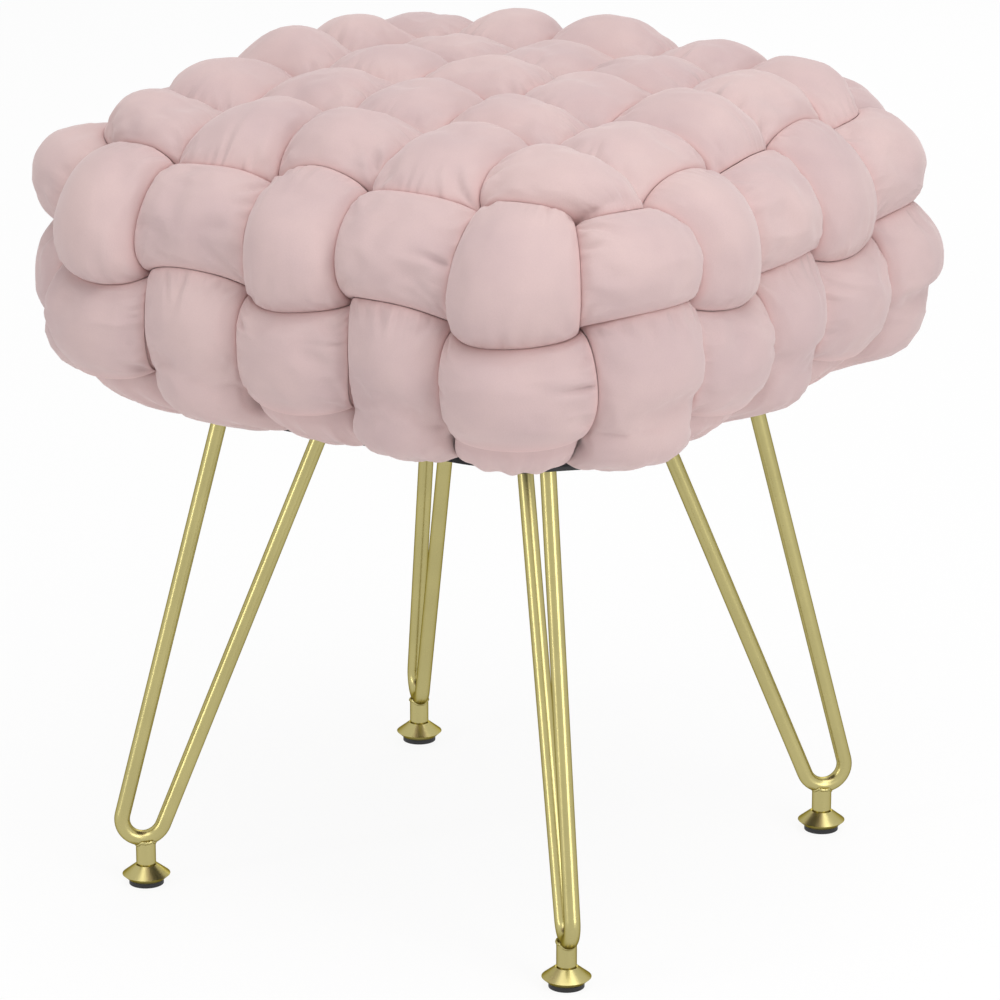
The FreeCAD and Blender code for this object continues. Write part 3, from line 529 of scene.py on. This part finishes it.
class TubeShape:
    """Collects the sections of one tube with what their shading needs."""

    def __init__(self, surface, top_count, under_count, cell_steps):
        self.surface = surface
        top = np.sin(np.linspace(-math.pi / 2, math.pi / 2, top_count))
        under = np.sin(np.linspace(math.pi / 2, -math.pi / 2, under_count))[1:-1]
        self.across = np.concatenate([top, under])
        self.is_top = np.arange(len(self.across)) < top_count
        self.steps = np.sin(np.linspace(-math.pi / 2, math.pi / 2, cell_steps + 1))
        self.rows, self.creases, self.pinches, self.places = [], [], [], []
        self.travelled = 0.0

    def heights(self, is_over, along, puff, open_end):
        """Height of every point of a section, given its place along the cell. At an open end
        the tube isn't pinched but runs on."""
        s, across = self.surface, self.across
        forth, aside = ridge(along), ridge(across)
        if is_over:
            # The puff leans a little, so its summit isn't over the middle of the cell.
            lifted = dome(along + puff.lean_along * arch(along))
            if along * open_end > 0:
                forth = arch(along)
                lifted = OPEN_HEIGHT + (lifted - OPEN_HEIGHT) * math.cos(along * math.pi / 2) ** 2
            spread = dome(across + puff.lean_across * arch(across))
            top = s.shoulder * (forth + aside - forth * aside)
            top = top + (puff.height - s.shoulder) * lifted * spread
            top = top - s.gap * (1 - forth) - puff.fold(along, across, open_end)
            under = s.shoulder * (forth - aside) + s.gap
        else:
            top = s.shoulder * (aside - forth) - s.gap
            sunk = 1 - forth
            under = ((s.squash - s.shoulder) * sunk - s.squash
                     + (s.shoulder * (1 - aside) + s.gap) * sunk)
        return np.where(self.is_top, top, under)

    def cell(self, place, is_over, puff, width, run, ends, sides, open_end=0):
        """Add the sections of one cell. place(along, across, forth, aside, height) finds the
        points. The upper tube's ends push out over the cell's edges, and its neighbours' ends
        push in at its sides. ends and sides say how far."""
        steps = self.steps if open_end > 0 else self.steps[:-1]
        # Closely spaced towards the pinched ends, and evenly towards an open one.
        steps = np.where(steps * open_end > 0, np.arcsin(steps) * 2 / math.pi, steps)
        turn = 1 if is_over else -1
        across = self.across * CELL_FILL
        pushed_in = np.where(across < 0, *sides) * -turn
        for along in steps:
            forth = ends[int(along > 0)] * turn * round_end(self.across) * along
            aside = pushed_in * round_end(along) * across
            self.rows.append(place(along, across, forth, aside,
                                   self.heights(is_over, along, puff, open_end)))
            to_end = 1 if along * open_end > 0 else 1 - abs(along)
            edge = np.minimum(to_end * run, (1 - np.abs(self.across)) * width)
            # Share of the painted crease light: it grows within a few millimetres of a crease, and
            # is whole on the cells under a crossing and on the underside.
            crease = np.exp(-edge / 1.6) if is_over else np.ones_like(self.across)
            self.creases.append(np.where(self.is_top, crease, 1.0))
            pinch = max(0.0, 1 - to_end / PUCKERED) ** 2 if is_over else 0.0
            self.pinches.append(np.full(len(self.across), pinch))
            self.add_place(self.travelled + (1 + along) * run, width)
        self.travelled += 2 * run

    def add_place(self, along, width):
        """Keep how far a section is along its tube and how far its points are round it."""
        around = self.across * width * np.where(self.is_top, 1, -1)
        self.places.append(np.stack([np.full_like(around, along), around,
                                     np.full_like(around, width)], axis=-1) * MM)

    def tuck(self, place, share, width, is_over, puff):
        """Add a section of the flattened end that is drawn in under the seat. The lower ring
        presses on every other one, and the rest run on from their puff."""
        s = self.surface
        # It bulges down past the edge of the base panel and is pressed flat from there on.
        start = (s.shoulder, *PUFFED_TUCK) if is_over else PRESSED_TUCK
        thickness = np.interp(share, TUCK_SHARES, (*start, *FLAT_TUCK, s.tuck_end))
        fill = TUCK_FILL * (1 - TUCK_NARROWING * share)
        height = thickness * ridge(self.across) * np.where(self.is_top, 1, -0.9)
        if is_over:
            spread = dome(self.across + puff.lean_across * arch(self.across))
            rise = OPEN_HEIGHT * (puff.height - s.shoulder)
            rise = rise * math.cos(min(1, share / TUCK_RISE_END) * math.pi / 2) ** 2
            height = height + np.where(self.is_top, rise * spread, 0)
        # The cloth is gathered where it is stapled, in folds that run with the tube.
        gathers = np.sin(self.across * 13 + 40 * puff.lean_along) * ridge(self.across)
        gathers = gathers * math.sin(math.pi * min(1, share / 0.9)) * 0.3 * s.pleat
        height = height + np.where(self.is_top, gathers, 0)
        self.rows.append(place(self.across * fill, height))
        # Share of the painted crease light on a tucked end, growing as it runs in under the seat.
        crease = 0.6 * share if is_over else 0.25 + 0.5 * share
        self.creases.append(np.full(len(self.across), crease))
        self.pinches.append(np.full(len(self.across), min(1.0, 1.5 * share)))
        self.add_place(self.travelled, width)


def waver(points, amount, seed):
    """Let the tubes wander a few millimetres, all of them alike, so that they still fit."""
    noise.seed_set(seed)
    flat = points.reshape(-1, 3)
    moved = np.array([noise.noise_vector(Vector(p) / 88 + Vector((3.1, 7.7, 1.9))) for p in flat])
    fine = np.array([noise.noise_vector(Vector(p) / 41 + Vector((9.4, 2.2, 5.3))) for p in flat])
    hold = np.clip((flat[:, 2] - 322) / 45, 0, 1)[:, None]
    return (flat + hold * amount * (moved + 0.35 * fine)).reshape(points.shape)


def mesh_object(name, rings, closed):
    """Skin a run of sections into an object, in metres."""
    count, around = rings.shape[:2]
    first = np.arange(count if closed else count - 1)[:, None]
    second = (first + 1) % count
    here = np.arange(around)[None, :]
    after = (here + 1) % around
    quads = np.stack(np.broadcast_arrays(first * around + here, first * around + after,
                                         second * around + after, second * around + here), axis=-1)
    faces = quads.reshape(-1, 4).tolist()
    if not closed:
        faces.append(list(range(around)))
        faces.append(list(range((count - 1) * around, count * around)))
    mesh = bpy.data.meshes.new(name)
    mesh.from_pydata((rings.reshape(-1, 3) * MM).tolist(), [], faces)
    build = bmesh.new()
    build.from_mesh(mesh)
    bmesh.ops.recalc_face_normals(build, faces=build.faces)
    build.to_mesh(mesh)
    build.free()
    mesh.shade_smooth()
    item = bpy.data.objects.new(name, mesh)
    bpy.context.scene.collection.objects.link(item)
    return item


def woven_object(name, shape, closed, weave, material):
    """Make a woven tube or ring, with what its material reads from it."""
    rings = waver(np.array(shape.rows), weave.waver / MM, weave.seed)
    item = mesh_object(name, rings, closed)
    mesh = item.data
    for key, values in (("crease", shape.creases), ("pinch", shape.pinches)):
        attribute = mesh.attributes.new(key, "FLOAT", "POINT")
        attribute.data.foreach_set("value", np.array(values, np.float32).ravel())
    attribute = mesh.attributes.new("tube_place", "FLOAT_VECTOR", "POINT")
    attribute.data.foreach_set("vector", np.array(shape.places, np.float32).ravel())
    mesh.materials.append(material)
    return item


def settle_covers(items, cap):
    """Blow the velvet covers up a little, as the stuffing does. Each is held where the next tube
    presses on it, and its spare cloth gathers in wrinkles between those places."""
    scene = bpy.context.scene
    for item in items:
        held = item.vertex_groups.new(name="held")
        for index, crease in enumerate(item.data.attributes["crease"].data):
            held.add([index], min(1.0, crease.value * 1.6), "REPLACE")
        cloth = item.modifiers.new("cover", "CLOTH")
        cloth.settings.vertex_group_mass = "held"
        cloth.settings.use_pressure = True
        cloth.settings.uniform_pressure_force = 4.0
        cloth.settings.shrink_min = -0.035
        cloth.settings.mass = 0.15
        cloth.settings.quality = 4
        cloth.settings.tension_stiffness = 12
        cloth.settings.compression_stiffness = 12
        cloth.settings.bending_stiffness = 0.2
        cloth.settings.effector_weights.gravity = 0.0
        cloth.collision_settings.use_collision = False
        cloth.point_cache.frame_start, cloth.point_cache.frame_end = 1, CLOTH_FRAMES
    for number in range(1, CLOTH_FRAMES + 1):
        scene.frame_set(number)
    graph = bpy.context.evaluated_depsgraph_get()
    settled = []
    for item in items:
        count = len(item.data.vertices) * 3
        before, after = np.empty(count), np.empty(count)
        item.data.vertices.foreach_get("co", before)
        item.evaluated_get(graph).data.vertices.foreach_get("co", after)
        # Folds that are finer than two points of the mesh are evened out.
        move = (after - before).reshape(-1, points_around(), 3)
        for axis in (0, 1):
            move = (2 * move + np.roll(move, 1, axis) + np.roll(move, -1, axis)) / 4
        move = move.reshape(-1, 3)
        far = np.linalg.norm(move, axis=1, keepdims=True)
        move = move * np.minimum(1, cap * np.tanh(far / cap) / np.maximum(far, 1e-9))
        settled.append(before + move.ravel())
    for item, points in zip(items, settled):
        item.modifiers.clear()
        item.vertex_groups.clear()
        item.data.vertices.foreach_set("co", points)
        item.data.update()
    scene.frame_set(1)


def detail():
    """Points across the top and the underside of a tube, and steps along a cell."""
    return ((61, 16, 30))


def points_around():
    """Points round a tube. Its top and its underside share the two at its sides."""
    top_count, under_count, _ = detail()
    return top_count + under_count - 2


def weave_tube(surface, row, runs_across, chance):
    """One tube from its tucked end on one side to the one on the other side."""
    shape = TubeShape(surface, *detail())
    width = surface.pitch / 2

    def over_on_top(column):
        return ((row + column) % 2 == 0) == runs_across

    def turned(points):
        return points if runs_across else points[..., [1, 0, 2]]

    def side_cell(side, start, run, is_over, puff, ends, open_end):
        def place(along, across, forth, aside, height):
            sideways = surface.across_of_tube(row, across) + aside
            distance = start + run / 2 + side * (along * run / 2 + forth)
            return turned(surface.at(side * distance, sideways, height))
        shape.cell(place, is_over, puff, width, run / 2, ends[::side],
                   [surface.ring_bulge] * 2, open_end)

    def tucks(side, is_over, puff):
        shares = np.linspace(TUCK_FIRST, 1.0, TUCK_STEPS)
        for share in shares if side > 0 else shares[::-1]:
            distance = surface.edge_of_sides + share * surface.run

            def place(across, height):
                sideways = surface.across_of_tube(row, across)
                return turned(surface.at(side * distance, sideways, height))
            shape.travelled += surface.run / TUCK_STEPS
            shape.tuck(place, share, width, is_over, puff)

    def rings_of(side):
        over_upper = not over_on_top(side * max(ROWS))
        middle = surface.edge_of_top + surface.upper_ring
        upper = (surface.edge_of_top, surface.upper_ring, over_upper,
                 [surface.top_bulge, surface.side_bulge])
        lower = (middle, surface.lower_ring, not over_upper, [surface.side_bulge, 0])
        return upper, lower

    upper, lower = rings_of(-1)
    puffs = [Puff(chance, surface, surface.side_puff * (
        STUFFING.get(("end", row, side), 1.0) if runs_across else 1.0)) for side in (-1, -1, 1, 1)]
    tucks(-1, lower[2], puffs[0])
    side_cell(-1, *lower[:3], puffs[0], lower[3], -1)
    side_cell(-1, *upper[:3], puffs[1], upper[3], 0)
    for column in ROWS:
        def place(along, across, forth, aside, height):
            sideways = surface.across_of_tube(row, across) + aside
            distance = surface.across_of_tube(column, np.full_like(across, along)) + forth
            return turned(surface.at(distance, sideways, height))
        spot = (row, column) if runs_across else (column, row)
        puff = Puff(chance, surface, surface.top_puff * STUFFING.get(("top", *spot), 1.0))
        shape.cell(place, over_on_top(column), puff, width, surface.pitch / 2,
                   [surface.top_bulge] * 2, [surface.top_bulge] * 2)
    upper, lower = rings_of(1)
    side_cell(1, *upper[:3], puffs[2], upper[3], 0)
    side_cell(1, *lower[:3], puffs[3], lower[3], 1)
    tucks(1, lower[2], puffs[3])
    return shape


def weave_ring(surface, start, width, is_upper, chance):
    """One ring round the four sides."""
    shape = TubeShape(surface, *detail())
    for quarter in range(4):
        cos, sin = (1, 0, -1, 0)[quarter], (0, 1, 0, -1)[quarter]
        spin = np.array([[cos, sin, 0], [-sin, cos, 0], [0, 0, 1]])
        for row in ROWS:
            ends_on_top = row % 2 == 0 if quarter % 2 == 0 else row % 2 != 0
            is_over = ends_on_top if is_upper else not ends_on_top

            def place(along, across, forth, aside, height):
                sideways = surface.across_of_tube(row, np.full_like(across, along)) + forth
                distance = start + (1 + across) * width / 2 + aside
                return surface.at(distance, sideways, height) @ spin
            sides = ([surface.top_bulge, surface.side_bulge] if is_upper
                     else [surface.side_bulge, -surface.ring_droop])
            share = STUFFING.get(("ring", quarter, row), 1.0) if is_upper else 1.0
            puff = Puff(chance, surface, surface.side_puff * share)
            shape.cell(place, is_over, puff, width / 2, surface.pitch / 2,
                       [surface.ring_bulge] * 2, sides)
    return shape


def make_foam_block(surface):
    """A block of foam with rounded edges and a low dome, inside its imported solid."""
    low, high = (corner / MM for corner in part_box("foam_core"))
    half, turn = high.x, np.linspace(0, 2 * math.pi, 96, endpoint=False)
    outline = (np.abs(np.cos(turn)) ** 8 + np.abs(np.sin(turn)) ** 8) ** (-1 / 8)
    ring = np.stack([np.cos(turn), np.sin(turn)], axis=-1) * outline[:, None]
    quarter = np.linspace(0, math.pi / 2, 7)
    steps = [(12 - 12 * math.sin(a), low.z + 12 - 12 * math.cos(a)) for a in quarter]
    shoulder = high.z - surface.crown - 34
    steps += [(34 - 34 * math.cos(a), shoulder + 34 * math.sin(a)) for a in quarter]
    for share in (0.2, 0.4, 0.6, 0.8, 0.98):
        inset = 34 + share * (half - 34)
        steps.append((inset, high.z - surface.crown * (1 - share) ** 2))
    rows = [np.column_stack([ring * (half - inset - 1), np.full(96, z)]) for inset, z in steps]
    return mesh_object("foam_block", np.array(rows), False)


def make_weld(corner):
    """The rippled bead where a bent rod is welded to its post."""
    side_x, side_y = CORNERS[corner]
    out = np.array([side_x, side_y]) * math.sqrt(0.5)
    across = np.array([-out[1], out[0]])
    low, high = (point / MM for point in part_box(f"leg_post_{corner}"))
    centre = np.array([(low.x + high.x) / 2, (low.y + high.y) / 2])
    turn = np.linspace(0, 2 * math.pi, 120, endpoint=False)
    around = np.linspace(0, 2 * math.pi, 12, endpoint=False)
    rows = []
    for angle in turn:
        along, aside = 5.5 * math.cos(angle), 5.5 * math.sin(angle)
        line = low.z + BEND_RISE + BEND_RADIUS - math.sqrt(BEND_RADIUS ** 2
                                                           - (along - BEND_SHIFT) ** 2)
        height = line - math.sqrt(ROD_RADIUS ** 2 - min(abs(aside), 0.93 * ROD_RADIUS) ** 2)
        ripple = 0.04 * math.sin(angle * 19) + 0.12 * noise.noise(Vector((along, aside, side_x)))
        thickness = 1.1 + ripple
        outward = out * math.cos(angle) + across * math.sin(angle)
        spot = centre + out * along + across * aside
        rows.append([[*(spot + outward * thickness * math.cos(a)), height + thickness * math.sin(a)]
                     for a in around])
    return mesh_object(f"weld_{corner}", np.array(rows), True)


class FOOTSTOOL_OT_woven_tubes(Operator):
    """Weave the ten tubes that run over the seat"""

    bl_idname = "footstool.woven_tubes"
    bl_label = "Weave Tubes"

    def execute(self, context):
        weave = context.scene.footstool_weave
        surface = CreaseSurface(weave)
        material = velvet_material(context.scene.footstool_finish)
        chance = random.Random(weave.seed)
        for name, runs_across in (("across", True), ("along", False)):
            for number, row in enumerate(ROWS, start=1):
                shape = weave_tube(surface, row, runs_across, chance)
                tube = woven_object(f"tube_{name}_{number}", shape, False, weave, material)
                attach(tube, BODY)
                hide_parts(f"weave_{name}_{number}")
        return {"FINISHED"}


class FOOTSTOOL_OT_woven_rings(Operator):
    """Weave the two rings that go round the sides of the seat"""

    bl_idname = "footstool.woven_rings"
    bl_label = "Weave Rings"

    def execute(self, context):
        weave = context.scene.footstool_weave
        surface = CreaseSurface(weave)
        chance = random.Random(weave.seed + 1)
        material = bpy.data.materials["brushed_polyester_velvet"]
        lower_start = surface.edge_of_top + surface.upper_ring
        for name, start, width, is_upper in (
                ("upper", surface.edge_of_top, surface.upper_ring, True),
                ("lower", lower_start, surface.lower_ring, False)):
            shape = weave_ring(surface, start, width, is_upper, chance)
            ring = woven_object(f"ring_{name}", shape, True, weave, material)
            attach(ring, BODY)
            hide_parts(f"weave_ring_{name}")
        return {"FINISHED"}


class FOOTSTOOL_OT_settle_covers(Operator):
    """Let the velvet covers of all tubes swell and wrinkle as cloth"""

    bl_idname = "footstool.settle_covers"
    bl_label = "Settle Covers"

    def execute(self, context):
        items = [item for item in context.scene.objects
                 if item.name.startswith(("tube_", "ring_"))]
        settle_covers(items, context.scene.footstool_weave.cloth_cap)
        return {"FINISHED"}


class FOOTSTOOL_OT_foam_and_boards(Operator):
    """Make the foam block and finish the boards under it"""

    bl_idname = "footstool.foam_and_boards"
    bl_label = "Make Foam and Boards"

    def execute(self, context):
        finish = context.scene.footstool_finish
        surface = CreaseSurface(context.scene.footstool_weave)
        foam = make_foam_block(surface)
        foam.data.materials.append(foam_material(finish))
        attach(foam, BODY)
        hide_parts("foam_core")
        finish_nodes(["seat_board"], plywood_material(finish))
        finish_nodes(["base_panel"], panel_material(finish))
        return {"FINISHED"}


class FOOTSTOOL_OT_legs(Operator):
    """Finish the plated legs and feet and lay their weld beads"""

    bl_idname = "footstool.legs"
    bl_label = "Finish Legs and Feet"

    def execute(self, context):
        finish = context.scene.footstool_finish
        gold = gold_material(finish)
        finish_nodes([f"{piece}_{corner}" for corner in CORNERS
                      for piece in ("leg_rod", "leg_post", "foot_disc")], gold)
        finish_nodes([f"leg_plate_{corner}" for corner in CORNERS], powder_coat_material(finish))
        finish_nodes([f"foot_pad_{corner}" for corner in CORNERS], rubber_material(finish))
        finish_nodes(["leg_plate_screws", "insert_nuts"], zinc_material(finish))
        for corner in CORNERS:
            bead = make_weld(corner)
            bead.data.materials.append(gold)
            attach(bead, BODY)
        return {"FINISHED"}


class FOOTSTOOL_OT_stage(Operator):
    """Set up the floor, the lights and the camera"""

    bl_idname = "footstool.stage"
    bl_label = "Set Up Stage"

    def execute(self, context):
        stage = context.scene.footstool_stage
        self.add_floor(stage)
        self.light_room(context.scene, stage)
        self.add_lamp("overhead_light", (0.6, -0.4, 2.4), (2.4, 2.4), stage.key)
        self.add_lamp("left_strip", (-1.3, -2.3, 0.9), (0.35, 1.8), stage.fill)
        self.add_lamp("right_strip", (2.0, -0.7, 0.9), (0.7, 1.8), 1.1 * stage.fill)
        self.add_lamp("back_light", (-0.9, 2.4, 1.4), (1.4, 1.4), stage.fill)
        camera = bpy.data.cameras.new("camera")
        camera.lens = stage.lens / MM
        camera.clip_end = 20
        item = bpy.data.objects.new("camera", camera)
        item.location = (1.6211, -2.5199, 1.1707)
        aim = Vector((-0.5142, 0.8035, -0.2999))
        item.rotation_euler = aim.to_track_quat("-Z", "Y").to_euler()
        context.scene.collection.objects.link(item)
        context.scene.camera = item
        context.scene.view_settings.view_transform = "Standard"
        return {"FINISHED"}

    def add_floor(self, stage):
        build = bmesh.new()
        bmesh.ops.create_circle(build, cap_ends=True, segments=96, radius=9)
        mesh = bpy.data.meshes.new("floor")
        build.to_mesh(mesh)
        build.free()
        floor = bpy.data.objects.new("floor", mesh)
        bpy.context.scene.collection.objects.link(floor)
        mesh.materials.append(self.floor_material(stage))

    def floor_material(self, stage):
        """Painted studio floor, matt: where it is seen it is nine tenths its own white, so that
        it is white like the backdrop and still takes a faint shadow."""
        material, tree = new_material("studio_floor_paint")
        matt = node(tree, "BsdfPrincipled", Base_Color=rgba(stage.floor), Roughness=0.9)
        glow = node(tree, "Emission", Color=(1, 1, 1, 1), Strength=1.0)
        share = node(tree, "Math", {0: self.seen(tree)}, operation="MULTIPLY")
        share.inputs[1].default_value = 0.9
        both = node(tree, "MixShader", {0: share, 1: matt, 2: glow})
        node(tree, "OutputMaterial", {"Surface": both})
        return material

    def seen(self, tree):
        """1 for rays that show the floor or the backdrop: from the camera, in metal or in glass."""
        rays = node(tree, "LightPath")
        either = node(tree, "Math", {0: rays.outputs["Is Camera Ray"],
                                     1: rays.outputs["Is Glossy Ray"]}, operation="MAXIMUM")
        return node(tree, "Math", {0: either, 1: rays.outputs["Is Transmission Ray"]},
                    operation="MAXIMUM")

    def light_room(self, scene, stage):
        """Even light, with a white backdrop for the camera and for reflections."""
        world = bpy.data.worlds.new("room")
        world.use_nodes = True
        tree = world.node_tree
        tree.nodes.clear()
        even = node(tree, "Background", Color=(1, 1, 1, 1), Strength=stage.ambient)
        white = node(tree, "Background", Color=(1, 1, 1, 1), Strength=1.0)
        both = node(tree, "MixShader", {0: self.seen(tree), 1: even, 2: white})
        node(tree, "OutputWorld", {"Surface": both})
        scene.world = world

    def add_lamp(self, name, place, size, power):
        lamp = bpy.data.lights.new(name, "AREA")
        lamp.shape = "RECTANGLE"
        lamp.size, lamp.size_y = size
        lamp.energy = power
        item = bpy.data.objects.new(name, lamp)
        item.location = place
        aim = Vector((0, 0, 0.3)) - Vector(place)
        item.rotation_euler = aim.to_track_quat("-Z", "Y").to_euler()
        bpy.context.scene.collection.objects.link(item)


class FOOTSTOOL_PT_panel(Panel):
    """Lists the pieces of the footstool and their settings"""

    bl_idname = "FOOTSTOOL_PT_panel"
    bl_label = "Footstool"
    bl_space_type = "VIEW_3D"
    bl_region_type = "UI"
    bl_category = "Footstool"

    def draw(self, context):
        for title, group, operators in (
                ("Woven Seat", context.scene.footstool_weave, OPERATORS[:4]),
                ("Finishes", context.scene.footstool_finish, OPERATORS[4:5]),
                ("Stage", context.scene.footstool_stage, OPERATORS[5:])):
            box = self.layout.box()
            box.label(text=title)
            for name in group.__annotations__:
                box.prop(group, name)
            for operator in operators:
                box.operator(operator.bl_idname)


GROUPS = {"footstool_weave": FOOTSTOOL_PG_weave, "footstool_finish": FOOTSTOOL_PG_finish,
          "footstool_stage": FOOTSTOOL_PG_stage}
OPERATORS = (FOOTSTOOL_OT_woven_tubes, FOOTSTOOL_OT_woven_rings, FOOTSTOOL_OT_settle_covers,
             FOOTSTOOL_OT_foam_and_boards, FOOTSTOOL_OT_legs, FOOTSTOOL_OT_stage)
CLASSES = (*GROUPS.values(), *OPERATORS, FOOTSTOOL_PT_panel)


def register():
    for item in CLASSES:
        bpy.utils.register_class(item)
    for name, group in GROUPS.items():
        setattr(bpy.types.Scene, name, PointerProperty(type=group))


def unregister():
    for name in GROUPS:
        delattr(bpy.types.Scene, name)
    for item in reversed(CLASSES):
        bpy.utils.unregister_class(item)


def main():
    register()
    bpy.ops.footstool.woven_tubes()
    bpy.ops.footstool.woven_rings()
    bpy.ops.footstool.settle_covers()
    bpy.ops.footstool.foam_and_boards()
    bpy.ops.footstool.legs()
    bpy.ops.footstool.stage()
    bpy.context.view_layer.update()


if __name__ == "__main__":
    main()
